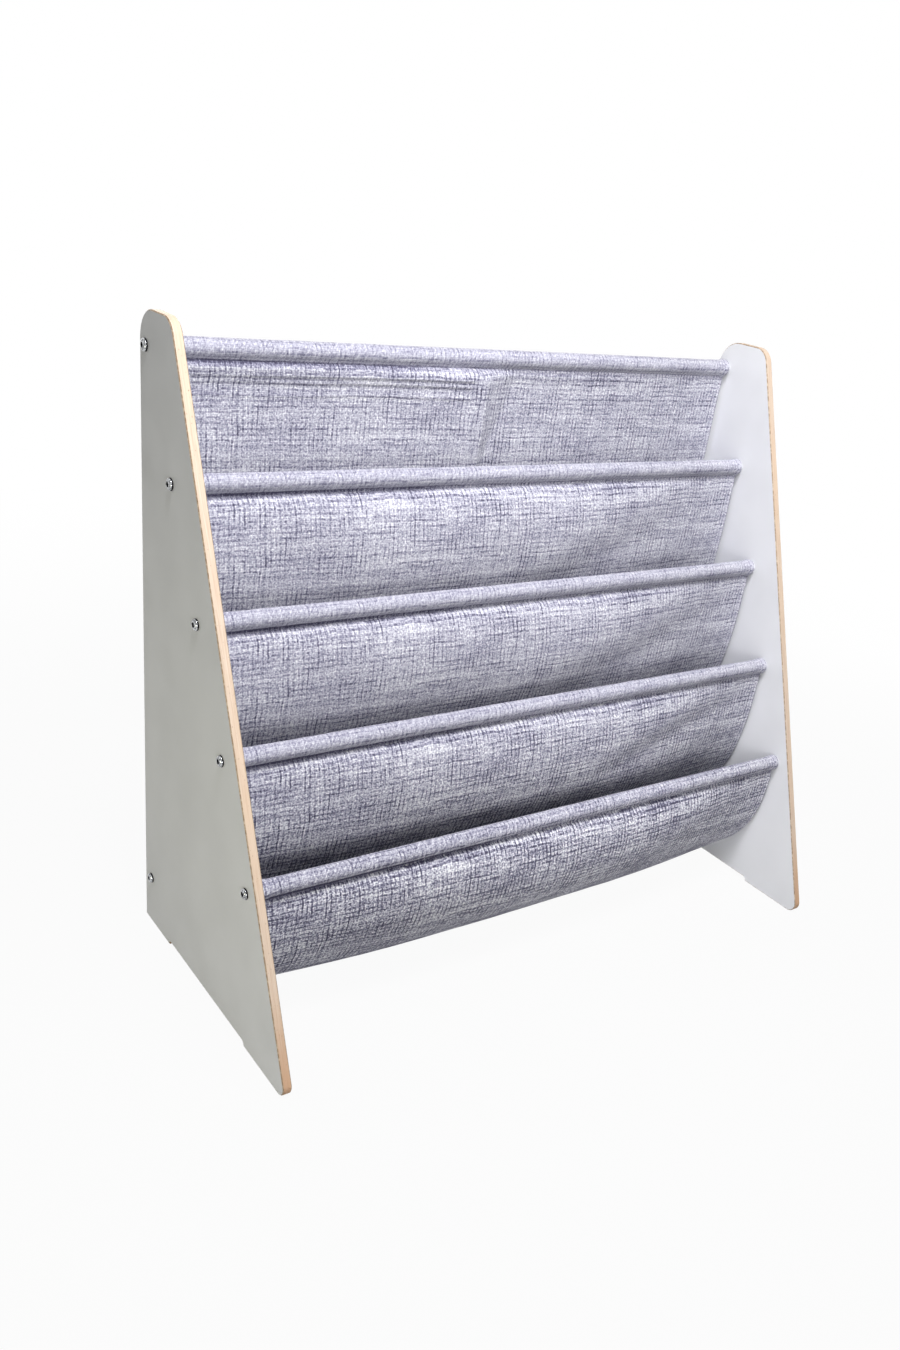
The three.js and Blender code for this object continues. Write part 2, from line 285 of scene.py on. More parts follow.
# Colours as they look, from 0 to 255, with their places on a ramp where they have one
LAMINATE_COLOURS = ((225, 226, 229), (232, 233, 236))
POWDER_COLOURS = ((214, 215, 218), (226, 227, 230))
CORE_RAMP = (
    (0.25, (196, 168, 140)),
    (0.45, (212, 190, 168)),
    (0.62, (219, 201, 182)),
    (0.8, (226, 211, 195)),
)
CORE_PATCH_COLOUR = (222, 194, 164)
CORE_BOTTOM_COLOUR = (196, 150, 110)
CORE_SPECK_COLOUR = (150, 116, 88)
ARRIS_RAMP = ((0.3, (122, 102, 80)), (0.5, (160, 138, 114)), (0.7, (200, 182, 160)))
THREAD_RAMP = ((0.3, (104, 102, 126)), (0.7, (176, 176, 196)))
LINEN_RAMP = (
    (0.0, (74, 72, 92)),
    (0.25, (121, 120, 140)),
    (0.5, (170, 169, 184)),
    (0.75, (213, 213, 219)),
    (1.0, (246, 246, 247)),
)
SCREW_STEEL = ((204, 206, 208), (104, 106, 109), 0.12)
# Darker steel for the screw socket and rim: painted shade and a painted dark reflection
PAINTED_SHADE_AND_REFLECTION_STEEL = ((42, 43, 45), (16, 16, 17), 0.3)
PLUG_STEEL = ((176, 178, 182), (140, 142, 146), 0.4)

# Floor, lamps (place, aim, size, watts, spread in degrees) and sky
FLOOR_SIZE = 240.0
FLOOR_COLOUR = (160, 160, 160)
FLOOR_SHOWN_WHITE = 0.95
WHITE_NEAR = 0.6
WHITE_FAR = 1.8
LAMPS = {
    "overhead": ((0.0, -0.4, 1.0), (0.02, -0.02, 0.4), (0.56, 0.25), 5.5, 180),
    "ceiling": ((-0.42, -0.45, 1.75), (0, 0, 0.35), (0.3, 0.3), 16.0, 180),
    "front": ((-0.75, -1.25, 0.42), (0, 0, 0.25), (0.3, 0.3), 4.2, 180),
    "right_board": ((-0.3, -0.5, 0.35), (0.35, 0, 0.06), (0.1, 0.2), 0.11, 60),
    "left_board": ((-1.15, -0.25, 0.24), (-0.35, 0, 0.2), (0.3, 0.3), 0.46, 100),
    "right": ((1.5, 0.5, 0.4), (0.35, 0, 0.3), (0.5, 0.5), 7, 180),
    "rear": ((0.2, 1.6, 0.8), (0, 0.1, 0.3), (0.8, 0.8), 12, 180),
}
LAMP_COLOUR = (0.97, 0.968, 1.0)
LEFT_COLOUR = (1.0, 0.98, 0.68)
SKY_LEVEL = 0.12
SKY_COLOUR = (1.0, 0.99, 0.95, 1)

# Camera, fitted to the boards, rods and screws of the photograph
CAMERA_PLACE = (-0.7175, -0.7929, 0.7153)
CAMERA_YAW = math.radians(38.74)
CAMERA_PITCH = math.radians(-29.64)
CAMERA_ROLL = math.radians(8.23)
SENSOR = 36
PHOTO_HEIGHT = 1350
FOCAL_PIXELS = 1118
HORIZON_DROP_PIXELS = 148.1

PI = math.pi
sides = {"left": -1, "right": 1}
board_boxes = {side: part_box("side_board_" + side) for side in sides}
REAR = board_boxes["left"][1].y
BOARD_HEIGHT = board_boxes["left"][1].z
FRONT_CORNER = REAR - BOARD_DEPTH
FRONT_LEAN = BOARD_DEPTH - BOARD_TOP_DEPTH
rod_names = ["top", "pocket_1", "pocket_2", "pocket_3", "pocket_4", "low_rear"]


def rod_place(name):
    """(y, z) of a rod's axis."""
    low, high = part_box("rod_" + name)
    return np.array([(low.y + high.y) / 2, (low.z + high.z) / 2])


rods = {name: rod_place(name) for name in rod_names}


class Shader:
    """Builds one material. Inputs are numbers, tuples or the outputs of earlier nodes."""

    def __init__(self, name):
        self.material = bpy.data.materials.new(name)
        self.material.use_nodes = True
        self.tree = self.material.node_tree
        self.surface = self.tree.nodes["Principled BSDF"]

    def add(self, kind, inputs=(), **settings):
        node = self.tree.nodes.new(kind)
        for key, value in settings.items():
            setattr(node, key, value)
        for key, value in dict(inputs).items():
            self.put(node.inputs[key], value)
        return node

    def put(self, socket, value):
        if isinstance(value, bpy.types.NodeSocket):
            self.tree.links.new(value, socket)
        else:
            socket.default_value = value

    def math(self, operation, a, b=0.0, c=0.0):
        node = self.add("ShaderNodeMath", {0: a, 1: b, 2: c}, operation=operation)
        return node.outputs[0]

    def times(self, a, b):
        return self.math("MULTIPLY", a, b)

    def scaled(self, a, factor, base):
        """a times factor, added to base."""
        return self.math("MULTIPLY_ADD", a, factor, base)

    def mix(self, share, a, b):
        """Colour a where share is 0 and b where it is 1. A mix node keeps its colours in 6, 7 and 2."""
        node = self.add("ShaderNodeMix", data_type="RGBA")
        for socket, value in zip((0, 6, 7), (share, a, b)):
            self.put(node.inputs[socket], value)
        return node.outputs[2]

    def vector(self, operation, a, b, c=(0, 0, 0)):
        node = self.add("ShaderNodeVectorMath", {0: a, 1: b, 2: c}, operation=operation)
        return node.outputs[0]

    def blend(self, share, a, b):
        """Number a where share is 0 and b where it is 1."""
        node = self.add("ShaderNodeMix", {0: share, 2: a, 3: b})
        return node.outputs[0]

    def object_place(self):
        return self.add("ShaderNodeTexCoord").outputs["Object"]

    def layout(self):
        return self.add("ShaderNodeUVMap", uv_map="layout").outputs[0]

    def position(self):
        return self.add("ShaderNodeNewGeometry").outputs["Position"]

    def speck(self, place):
        """White noise: an unrelated value at each place."""
        return self.add("ShaderNodeTexWhiteNoise", {"Vector": place}).outputs["Value"]

    def noise(self, place, scale, detail=2.0, roughness=0.5):
        inputs = {"Vector": place, "Scale": scale, "Detail": detail, "Roughness": roughness}
        return self.add("ShaderNodeTexNoise", inputs).outputs["Fac"]

    def spread(self, value, low, high, to_low=0.0, to_high=1.0):
        """value from low to high becomes to_low to to_high, without going past them."""
        inputs = {"Value": value, "From Min": low, "From Max": high, "To Min": to_low, "To Max": to_high}
        return self.add("ShaderNodeMapRange", inputs, interpolation_type="SMOOTHSTEP").outputs[0]

    def ramp(self, value, *stops):
        node = self.add("ShaderNodeValToRGB", {"Fac": value})
        elements = node.color_ramp.elements
        while len(elements) < len(stops):
            elements.new(0.5)
        for element, (place, colour) in zip(elements, stops):
            element.position = place
            element.color = linear(colour)
        return node.outputs[0]

    def join(self, x, y, z=0.0):
        return self.add("ShaderNodeCombineXYZ", {0: x, 1: y, 2: z}).outputs[0]

    def stretched(self, x, y, rates, z=0.0):
        return self.join(self.times(x, rates[0]), self.times(y, rates[1]), z)

    def split(self, vector):
        return self.add("ShaderNodeSeparateXYZ", {0: vector}).outputs

    def finish(self, **sockets):
        for key, value in sockets.items():
            self.put(self.surface.inputs[key.replace("_", " ")], value)
        return self.material

    def bump(self, height, distance, strength=1.0):
        inputs = {"Height": height, "Distance": distance, "Strength": strength}
        return self.add("ShaderNodeBump", inputs).outputs[0]


def linear(colour):
    """A colour written as it looks, from 0 to 255, as the linear colour that a shader takes."""
    share = [c / 255 for c in colour]
    return (*[s / 12.92 if s <= 0.04045 else ((s + 0.055) / 1.055) ** 2.4 for s in share], 1)


def laminate_material():
    """White board face: a slight orange peel, with faint clouding in colour and gloss."""
    s = Shader("white_laminate")
    place = s.object_place()
    cloud = s.noise(place, 9, 3)
    peel = s.noise(place, 420, 2)
    colour = s.mix(s.spread(cloud, 0.3, 0.7), *map(linear, LAMINATE_COLOURS))
    gloss = s.spread(s.noise(place, 26, 4), 0.3, 0.7, 0.42, 0.55)
    return s.finish(Base_Color=colour, Roughness=gloss, Normal=s.bump(peel, 0.05 * MM, 0.5))


def core_material():
    """Bare edge of the board: pale tan fibres along the edge, with darker streaks and specks."""
    s = Shader("board_core_edge")
    along, across = s.split(s.layout())[:2]
    streaks = s.noise(s.stretched(along, across, STREAK_RATES), 1, 3, 0.6)
    patches = s.noise(s.stretched(along, across, PATCH_RATES), 1, 2)
    specks = s.noise(s.stretched(along, across, SPECK_RATES), 1, 1)
    colour = s.ramp(streaks, *CORE_RAMP)
    colour = s.mix(s.spread(patches, 0.35, 0.75, 0, 0.5), colour, linear(CORE_PATCH_COLOUR))
    height = s.split(s.position())[2]
    # The edge turns darker and more orange towards the bottom
    colour = s.mix(s.spread(height, 0.0, EDGE_DARKENING_HEIGHT, 0.75, 0.0), colour, linear(CORE_BOTTOM_COLOUR))
    colour = s.mix(s.spread(specks, 0.66, 0.8, 0, 0.7), colour, linear(CORE_SPECK_COLOUR))
    return s.finish(Base_Color=colour, Roughness=0.72, Normal=s.bump(streaks, 0.12 * MM, 0.6))


def arris_material():
    """Brown line where the white face ends on the board's edge."""
    s = Shader("board_arris")
    uv = s.layout()
    wear = s.noise(uv, 260, 3)
    colour = s.ramp(wear, *ARRIS_RAMP)
    return s.finish(Base_Color=colour, Roughness=0.6)


def steel_material(name, light, dark, roughness):
    """Zinc plated steel with fine turning marks and slight staining."""
    s = Shader(name)
    place = s.object_place()
    stain = s.noise(place, 700, 3)
    marks = s.noise(place, 2600, 2)
    colour = s.mix(s.spread(stain, 0.35, 0.65), linear(dark), linear(light))
    gloss = s.spread(stain, 0.3, 0.7, roughness, roughness + 0.14)
    bump = s.bump(marks, 0.02 * MM, 0.6)
    return s.finish(Base_Color=colour, Metallic=1.0, Roughness=gloss, Normal=bump)


def painted_material():
    """White powder coat on the rods."""
    s = Shader("white_powder_coat")
    place = s.object_place()
    peel = s.noise(place, 900, 2)
    cloud = s.noise(place, 30, 2)
    colour = s.mix(s.spread(cloud, 0.3, 0.7), *map(linear, POWDER_COLOURS))
    return s.finish(Base_Color=colour, Roughness=0.38, Normal=s.bump(peel, 0.05 * MM, 0.7))


def linen_material():
    """Plain weave of pale slub yarns. Each third yarn is dark, which shows as a fine broken grid."""
    s = Shader("grey_linen")
    uv = s.layout()
    swaying = {"Vector": uv, "Scale": SWAY_SCALE, "Detail": 3}
    sway = s.add("ShaderNodeTexNoise", swaying).outputs["Color"]
    shift = s.vector("SUBTRACT", sway, (0.5, 0.5, 0.5))
    placed = s.vector("MULTIPLY_ADD", shift, (WEAVE_SWAY, WEAVE_SWAY, 0), uv)
    u, v = s.split(placed)[:2]
    across = s.math("DIVIDE", u, YARN_PITCH)
    down = s.math("DIVIDE", v, YARN_PITCH)
    warp = yarn_shade(s, across, v, *WARP_LINES)
    weft = yarn_shade(s, down, u, *WEFT_LINES)
    across_wave = s.math("SINE", s.times(across, PI))
    down_wave = s.math("SINE", s.times(down, PI))
    checker = s.times(across_wave, down_wave)
    over = s.spread(checker, -CROSSING_SOFTNESS, CROSSING_SOFTNESS)
    across_body, down_body = s.math("ABSOLUTE", across_wave), s.math("ABSOLUTE", down_wave)
    relief = s.blend(over, down_body, across_body)
    crossing = s.join(s.math("FLOOR", across), s.math("FLOOR", down), 5.0)
    fleck = s.speck(crossing)
    band = s.noise(s.stretched(u, v, BAND_RATES), 1, 2)
    shade = s.times(s.math("ADD", warp, weft), YARN_SHARE)
    layers = (
        (s.blend(over, weft, warp), UPPER_YARN_SHARE),
        (s.math("ADD", across_body, down_body), BODY_SHARE),
        (relief, RELIEF_SHARE),
        (fleck, FLECK_SHARE),
        (s.noise(placed, FIBRE_SCALE, 2, 0.6), FIBRE_SHARE),
        (s.noise(uv, CLOUD_SCALE, 2), CLOUD_SHARE),
        (band, BAND_SHARE),
    )
    for layer, share in layers:
        shade = s.scaled(layer, share, shade)
    shade = s.math("SUBTRACT", shade, WEAVE_MIDDLE)
    x, run = s.split(uv)[:2]
    begun = s.spread(run, ROLL_START - ROLL_FADE, ROLL_START)
    ended = s.spread(run, ROLL_END, ROLL_END + ROLL_FADE, 1, 0)
    rolled = s.times(begun, ended)
    hatch = s.noise(s.stretched(s.scaled(run, HATCH_SLANT, x), run, HATCH_RATES), 1, 1)
    faint = s.times(shade, HATCH_WEAVE_SHARE)
    twisted = s.scaled(s.math("SUBTRACT", hatch, HATCH_MIDDLE), HATCH_SHARE, faint)
    shade = s.blend(rolled, shade, twisted)
    # Painted shade: darken a band along the seam under each roll, strongest on the left
    off = s.math("ABSOLUTE", s.math("SUBTRACT", run, SEAM_PLACE))
    painted_shade_strength = s.spread(x, *PAINTED_SEAM_SHADE_ENDS, PAINTED_SEAM_SHADE, PAINTED_SEAM_SHADE_LEAST)
    shade = s.math("SUBTRACT", shade, s.times(painted_shade_strength, s.spread(off, 0, PAINTED_SEAM_SHADE_HALF_WIDTH, 1, 0)))
    height = s.split(s.position())[2]
    contrast = s.spread(height, *CONTRAST_HEIGHTS, CONTRAST_LOW, CONTRAST_HIGH)
    colour = s.ramp(s.scaled(shade, contrast, WEAVE_LEVEL), *LINEN_RAMP)
    return s.finish(
        Base_Color=colour,
        Roughness=0.92,
        Specular_IOR_Level=0.2,
        Sheen_Weight=0.1,
        Sheen_Roughness=0.5,
        Normal=s.bump(relief, 0.3 * MM, 0.6),
    )


def yarn_shade(s, number, along, offset, darkness, patch_rates):
    """Shade about nought of the yarn that a point lies in: its own, its slubs and its dark runs."""
    yarn = s.math("FLOOR", number)
    own, dyed = s.speck(s.join(yarn, offset)), s.speck(s.join(yarn, offset + 31))
    slub_along, run_along = s.math("DIVIDE", along, SLUB_LENGTH), s.math("DIVIDE", along, LINE_LENGTH)
    slub = s.noise(s.join(s.times(yarn, SLUB_RATE), slub_along, offset), 1, 0)
    run = s.noise(s.join(s.times(yarn, RUN_RATE), run_along, offset + 9), 1, 0)
    patch = s.noise(s.stretched(yarn, along, patch_rates, offset + 19), 1, 1)
    depth = s.scaled(dyed, 1 - LEAST_DYE, LEAST_DYE)
    line = s.times(depth, s.spread(run, *RUN_VALUES))
    line = s.times(line, s.spread(patch, *PATCH_VALUES))
    is_dark = s.math("LESS_THAN", s.math("WRAP", yarn, DARK_YARN_EVERY, 0.0), 0.5)
    line = s.times(line, is_dark)
    slubs = s.spread(slub, 0.25, 0.75, -SLUB_SHADE, SLUB_SHADE)
    shade = s.scaled(own, OWN_SHARE, slubs)
    return s.math("ADD", s.scaled(line, -darkness, shade), YARN_LEVEL)


def thread_material():
    """Twisted sewing thread, a little darker than the cloth."""
    s = Shader("sewing_thread")
    place = s.object_place()
    ply = s.noise(place, 2600, 2)
    colour = s.ramp(ply, *THREAD_RAMP)
    return s.finish(Base_Color=colour, Roughness=0.8, Specular_IOR_Level=0.3)


def scene_object(name, data):
    made = bpy.data.objects.new(name, data)
    bpy.context.scene.collection.objects.link(made)
    return made


def mesh_object(name, vertices, faces, uvs=None, materials=(), face_materials=None):
    """A piece that rides on the frame, from plain lists. uvs has one pair for each vertex."""
    mesh = bpy.data.meshes.new(name)
    mesh.from_pydata([tuple(map(float, v)) for v in vertices], [], [tuple(map(int, f)) for f in faces])
    if uvs is not None:
        layer = mesh.uv_layers.new(name="layout")
        corner = np.zeros(len(mesh.loops), dtype=np.int32)
        mesh.loops.foreach_get("vertex_index", corner)
        layer.uv.foreach_set("vector", np.asarray(uvs, dtype=np.float32)[corner].ravel())
    for material in materials:
        mesh.materials.append(material)
    if face_materials is not None:
        mesh.polygons.foreach_set("material_index", np.asarray(face_materials, dtype=np.int32))
    mesh.polygons.foreach_set("use_smooth", np.full(len(mesh.polygons), True))
    piece = scene_object(name, mesh)
    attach(piece, "root")
    return piece


def mark_sharp(piece):
    """Keeps the edges between faces that turn by more than a set angle crisp."""
    bm = bmesh.new()
    bm.from_mesh(piece.data)
    for edge in bm.edges:
        edge.smooth = edge.calc_face_angle(0) < SHARP_ANGLE
    bm.to_mesh(piece.data)
    bm.free()


def unit(vectors):
    return vectors / np.linalg.norm(vectors, axis=-1, keepdims=True)


def run_lengths(line):
    return np.r_[0, np.cumsum(np.linalg.norm(np.diff(line, axis=0), axis=1))]


def arc(centre, radius, start, end, steps=ARC_STEPS):
    angles = np.linspace(start, end, steps + 1)
    return np.stack([centre[0] + radius * np.cos(angles), centre[1] + radius * np.sin(angles)], 1)


def bezier(corners, count):
    t = np.linspace(0, 1, count + 1)[:, None]
    a, b, c, d = (np.asarray(p, dtype=float) for p in corners)
    return (1 - t) ** 3 * a + 3 * (1 - t) ** 2 * t * b + 3 * (1 - t) * t**2 * c + t**3 * d


def without_repeats(points):
    keep = np.r_[True, np.linalg.norm(np.diff(points, axis=0), axis=1) > REPEAT]
    return points[keep]


def board_outline():
    """(y, z) points round a board, anticlockwise seen from its right, from the front foot."""
    front_angle = math.atan2(BOARD_HEIGHT, FRONT_LEAN)
    bottom_tangent = BOTTOM_FRONT_RADIUS / math.tan(front_angle / 2)
    top_tangent = TOP_FRONT_RADIUS * math.tan(front_angle / 2)
    r = FOOT_RECESS
    rear_foot = BOARD_DEPTH - REAR_FOOT
    quarter = PI / 2
    parts = [
        [(FRONT_FOOT, 0)],
        arc((FRONT_FOOT + r, 0), r, PI, quarter, RECESS_STEPS),
        arc((rear_foot - r, 0), r, quarter, 0, RECESS_STEPS),
        arc(
            (BOARD_DEPTH - BOTTOM_REAR_RADIUS, BOTTOM_REAR_RADIUS),
            BOTTOM_REAR_RADIUS,
            -quarter,
            0,
            SMALL_ARC_STEPS,
        ),
        arc((BOARD_DEPTH - TOP_REAR_RADIUS, BOARD_HEIGHT - TOP_REAR_RADIUS), TOP_REAR_RADIUS, 0, quarter),
        arc(
            (FRONT_LEAN + top_tangent, BOARD_HEIGHT - TOP_FRONT_RADIUS),
            TOP_FRONT_RADIUS,
            quarter,
            front_angle + quarter,
        ),
        arc((bottom_tangent, BOTTOM_FRONT_RADIUS), BOTTOM_FRONT_RADIUS, front_angle + quarter, 3 * quarter),
    ]
    points = without_repeats(np.concatenate([np.asarray(p, dtype=float) for p in parts]))
    return points + [FRONT_CORNER, 0]


def shrunk(points, distance):
    """A closed outline moved inwards by distance, with mitred corners."""
    into = unit(points - np.roll(points, 1, axis=0))
    out = unit(np.roll(points, -1, axis=0) - points)
    along = unit(into + out)
    mitre = distance / np.maximum((along * into).sum(1), MITRE_LIMIT)
    return points + np.stack([-along[:, 1], along[:, 0]], 1) * mitre[:, None]


def make_board(side, materials):
    """White faces, a thin brown arris and a bare edge, with a hole for each screw."""
    low, high = board_boxes[side]
    outline = board_outline()
    inner = shrunk(outline, ARRIS)
    turns = np.arange(len(rod_names)) * HOLE_TURN
    holes = []
    for name, turn in zip(rod_names, turns):
        holes.append(arc(rods[name], SCREW_HOLE, 2 * PI + turn, turn, HOLE_SIDES)[:-1])
    count = len(outline)
    levels = [low.x, low.x + ARRIS, high.x - ARRIS, high.x]
    rings = [inner, outline, outline, inner]
    length = run_lengths(outline)
    vertices, uvs, faces, kinds = [], [], [], []
    for x, ring in zip(levels, rings):
        vertices += [(x, y, z) for y, z in ring]
        uvs += [(along, x) for along in length]
    for j in range(3):
        for i in range(count):
            after = (i + 1) % count
            here, above = j * count, (j + 1) * count
            faces.append((here + i, here + after, above + after, above + i))
            kinds.append(EDGE if j == 1 else ARRIS_BAND)
    for cap, x in ((0, low.x), (1, high.x)):
        first = len(vertices)
        loops = [inner, *holes]
        flat = np.concatenate(loops)
        for y, z in np.concatenate(holes):
            vertices.append((x, y, z))
            uvs.append((y, z))
        numbers = list(range(cap * 3 * count, cap * 3 * count + count)) + list(range(first, len(vertices)))
        for triangle in tessellate_polygon([[Vector((y, z, 0)) for y, z in loop] for loop in loops]):
            a, b, c = (flat[k] for k in triangle)
            turns_left = (b[0] - a[0]) * (c[1] - a[1]) - (b[1] - a[1]) * (c[0] - a[0]) > 0
            ordered = triangle if turns_left == (cap == 1) else triangle[::-1]
            faces.append([numbers[k] for k in ordered])
            kinds.append(FACE)
    low_holes, high_holes = 4 * count, 4 * count + len(holes) * HOLE_SIDES
    for h in range(len(holes)):
        for i in range(HOLE_SIDES):
            here = h * HOLE_SIDES + i
            after = h * HOLE_SIDES + (i + 1) % HOLE_SIDES
            faces.append((low_holes + here, low_holes + after, high_holes + after, high_holes + here))
            kinds.append(EDGE)
    board = mesh_object("board_" + side, vertices, faces, uvs, materials, kinds)
    mark_sharp(board)
    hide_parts("side_board_" + side)


def make_screw(rod, side, materials, turn):
    """Button head with a domed top and a threaded shank. Its hexagonal socket and rim take a darker steel:
    painted shade in the socket and a painted dark reflection on the rim.
    """
    angles = np.arange(SCREW_SIDES) * 2 * PI / SCREW_SIDES
    hexagon = (SOCKET_WIDTH / 2) / np.cos((angles + PI / 6) % (PI / 3) - PI / 6)
    circle = np.ones(SCREW_SIDES)
    rings = [(circle * THREAD_ROOT * SHANK_POINT_SHARE, -SHANK_LENGTH)]
    height = -SHANK_LENGTH + THREAD_PITCH / 2
    while height < THREAD_LENGTH - SHANK_LENGTH:
        rings.append((circle * SHANK_RADIUS, height))
        rings.append((circle * THREAD_ROOT, height + THREAD_PITCH / 2))
        height += THREAD_PITCH
    rings.append((circle * SHANK_RADIUS, height))
    rings.append((circle * SHANK_RADIUS, 0))
    rings.append((circle * (HEAD_RADIUS - HEAD_BEVEL), 0))
    rings.append((circle * HEAD_RADIUS, HEAD_BEVEL))
    for step in range(DOME_STEPS + 1):
        angle = step / DOME_STEPS * PI / 2
        radius = HEAD_FLAT + (HEAD_RADIUS - HEAD_FLAT) * math.cos(angle)
        rings.append((circle * radius, HEAD_RIM + (HEAD_HEIGHT - HEAD_RIM) * math.sin(angle)))
    rings.append((hexagon + SOCKET_LIP, HEAD_HEIGHT))
    rings.append((hexagon, HEAD_HEIGHT - SOCKET_LIP))
    rings.append((hexagon, HEAD_HEIGHT - SOCKET_DEPTH))
    rings.append((circle * SOCKET_WIDTH * SOCKET_POINT_SHARE, HEAD_HEIGHT - SOCKET_POINT_DEPTH))
    sign = sides[side]
    y, z = rods[rod]
    vertices = []
    for radius, level in rings:
        x = np.full(SCREW_SIDES, sign * (OUTER_FACE_PLANE + HEAD_GAP + level))
        across = y + sign * radius * np.cos(angles + turn)
        up = z + radius * np.sin(angles + turn)
        vertices += list(np.stack([x, across, up], 1))
    faces = []
    n = SCREW_SIDES
    for j in range(len(rings) - 1):
        here, above = j * n, (j + 1) * n
        faces += [(here + i, here + (i + 1) % n, above + (i + 1) % n, above + i) for i in range(n)]
    faces.append(tuple(range(n))[::-1])
    faces.append(tuple(range((len(rings) - 1) * n, len(rings) * n)))
    # The socket and the head's rim take the darker steel, as painted shade and a painted dark reflection
    socket = len(rings) - SOCKET_RINGS
    head = socket - (DOME_STEPS + 1) - BEVEL_RINGS
    dark = [j >= socket or head <= j < head + RIM_BANDS for j in range(len(rings) - 1)]
    kinds = [int(d) for d in dark for _ in range(n)] + [0, 1]
    screw = mesh_object(f"button_screw_{rod}_{side}", vertices, faces, None, materials, kinds)
    mark_sharp(screw)
    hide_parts(f"screw_{rod}_{side}")


def ripple(a, b, seed):
    """Smooth noise from -1 to 1 over two arrays, with one cell of its lattice to each unit."""
    lattice = np.random.default_rng(SEED + seed).uniform(-1, 1, (LATTICE, LATTICE))
    a, b = np.broadcast_arrays(a, b)
    i, j = np.floor(a).astype(int), np.floor(b).astype(int)
    p, q = a - i, b - j
    p, q = p * p * (3 - 2 * p), q * q * (3 - 2 * q)
    a, b = i % LATTICE, j % LATTICE
    after_a, after_b = (i + 1) % LATTICE, (j + 1) % LATTICE
    near = lattice[a, b] * (1 - p) + lattice[after_a, b] * p
    far = lattice[a, after_b] * (1 - p) + lattice[after_a, after_b] * p
    return near * (1 - q) + far * q


def waves(x, along, cells, seed):
    """Ripples from (cell across, cell along, height)."""
    return ripple(x / cells[0], along / cells[1], seed) * cells[2]


def bell(distance, width):
    return np.exp(-((distance / width) ** 2))


def cloth_columns():
    """X of each column of a sheet's mesh, close together at the side hems and the middle crease."""
    hem = np.arange(0, SIDE_HEM + EDGE_MARGIN, EDGE_STEP)
    side = np.linspace(CREASE_ZONE, CLOTH_END - hem[-1], round(CLOTH_END / COLUMN_STEP))
    crease = np.linspace(0, CREASE_ZONE, round(CREASE_ZONE / EDGE_STEP))
    right = np.unique(np.round(np.r_[crease, side, CLOTH_END - hem], 7))
    return np.r_[-right[:0:-1], right]


columns = cloth_columns()


def sleeve_line(rod, side):
    """The cloth's centre line from its hem's end up to the rod, round it and down to the stitches.
    side is 1 for cloth that leaves the sleeve downwards and -1 for cloth that leaves it upwards."""
    y, z = rod
    reach = math.hypot(LAYER_OFFSET, CREASE_DROP)
    opening = math.acos(SLEEVE_RADIUS / reach) + math.atan2(LAYER_OFFSET, CREASE_DROP)
    start = -side * (PI / 2 - opening)
    end = side * (1.5 * PI - opening)
    crease = z - side * CREASE_DROP
    stitch = crease - side * STITCH_DROP
    hem_end = crease - side * HEM_LENGTH
    rear = [(y + LAYER_OFFSET, h) for h in np.linspace(hem_end, crease, ROLL_FIRST + 1)]
    rolled = arc(rod, SLEEVE_RADIUS, start, end, ROLL_LAST - ROLL_FIRST - 1)
    front = [(y - LAYER_OFFSET, h) for h in np.linspace(crease, stitch, FLAT_POINTS)]
    return np.concatenate([rear, rolled, front])


def back_depth(height):
    """Y of the back sheet's centre line, which hangs straight between its sleeves."""
    top = rods["top"][1] - CREASE_DROP
    low = rods["low_rear"][1] + CREASE_DROP
    share = (height - low) / (top - low)
    return rods["low_rear"][0] + (rods["top"][0] - rods["low_rear"][0]) * share - LAYER_OFFSET


def pocket_seam(index):
    """(floor height, reach, seam height) of a pocket."""
    rod = rods[f"pocket_{index + 1}"]
    floor = FLOOR_CLEARANCE if index == POCKET_COUNT - 1 else rod[1] - POCKET_DEPTH
    reach = back_depth(floor) - SHEET_GAP - (rod[0] - LAYER_OFFSET)
    return floor, reach, floor + SEAM_RISE + SEAM_RISE_SHARE * reach


def pocket_line(index):
    """Centre line of a pocket: its sleeve, its front, its floor and its seam on the back sheet."""
    rod = rods[f"pocket_{index + 1}"]
    floor, reach, seam = pocket_seam(index)
    sleeve = sleeve_line(rod, 1)
    start = sleeve[-1]
    drop = start[1] - floor
    lowest = (start[0] + FLOOR_PLACE_SHARE * reach, floor)
    front = bezier(
        [
            start,
            (start[0] - POCKET_BOW, start[1] - FRONT_BOW_SHARE * drop),
            (start[0] + FLOOR_FRONT_SHARES[index] * reach, floor),
            lowest,
        ],
        round(drop / FRONT_STEP * FRONT_CURVE_SHARE),
    )
    seam_depth = back_depth(seam) - SHEET_GAP
    rear = bezier(
        [
            lowest,
            (lowest[0] + FLOOR_REAR_SHARE * reach, floor),
            (seam_depth - SEAM_FRONT_SHARE * reach, seam - SEAM_SLOPE_SHARE * (seam - floor)),
            (seam_depth, seam),
        ],
        round(reach / FRONT_STEP * REAR_CURVE_SHARE) + REAR_CURVE_POINTS,
    )
    heights = np.linspace(seam, seam + SEAM_FLANGE, FLAT_POINTS)
    flange = [(back_depth(h) - SHEET_GAP, h) for h in heights]
    return without_repeats(np.concatenate([sleeve, front, rear, flange]))


def back_line():
    top = sleeve_line(rods["top"], 1)
    low = sleeve_line(rods["low_rear"], -1)[::-1]
    fine_end = top[-1][1] - FOLD_ZONE
    fine = np.arange(top[-1][1], fine_end, -FOLD_STEP)
    heights = np.r_[fine, np.linspace(fine_end, low[0][1], round((fine_end - low[0][1]) / BACK_STEP))]
    hanging = np.stack([back_depth(heights), heights], 1)
    return without_repeats(np.concatenate([top, hanging[1:-1], low]))


def line_normals(line):
    along = unit(np.gradient(line, axis=0))
    return np.stack([along[:, 1], -along[:, 0]], 1)


def sewn_relief(x, s, stitch, seed):
    """The stitch row pinches the cloth, which puckers on both sides of it."""
    near = s - stitch
    pinch = -PINCH_DEPTH * bell(near, PINCH_WIDTH)
    pucker = waves(x, near, PUCKERS, seed) * bell(near, PUCKER_REACH)
    return pinch + pucker * (1 - bell(near, PUCKER_GAP))


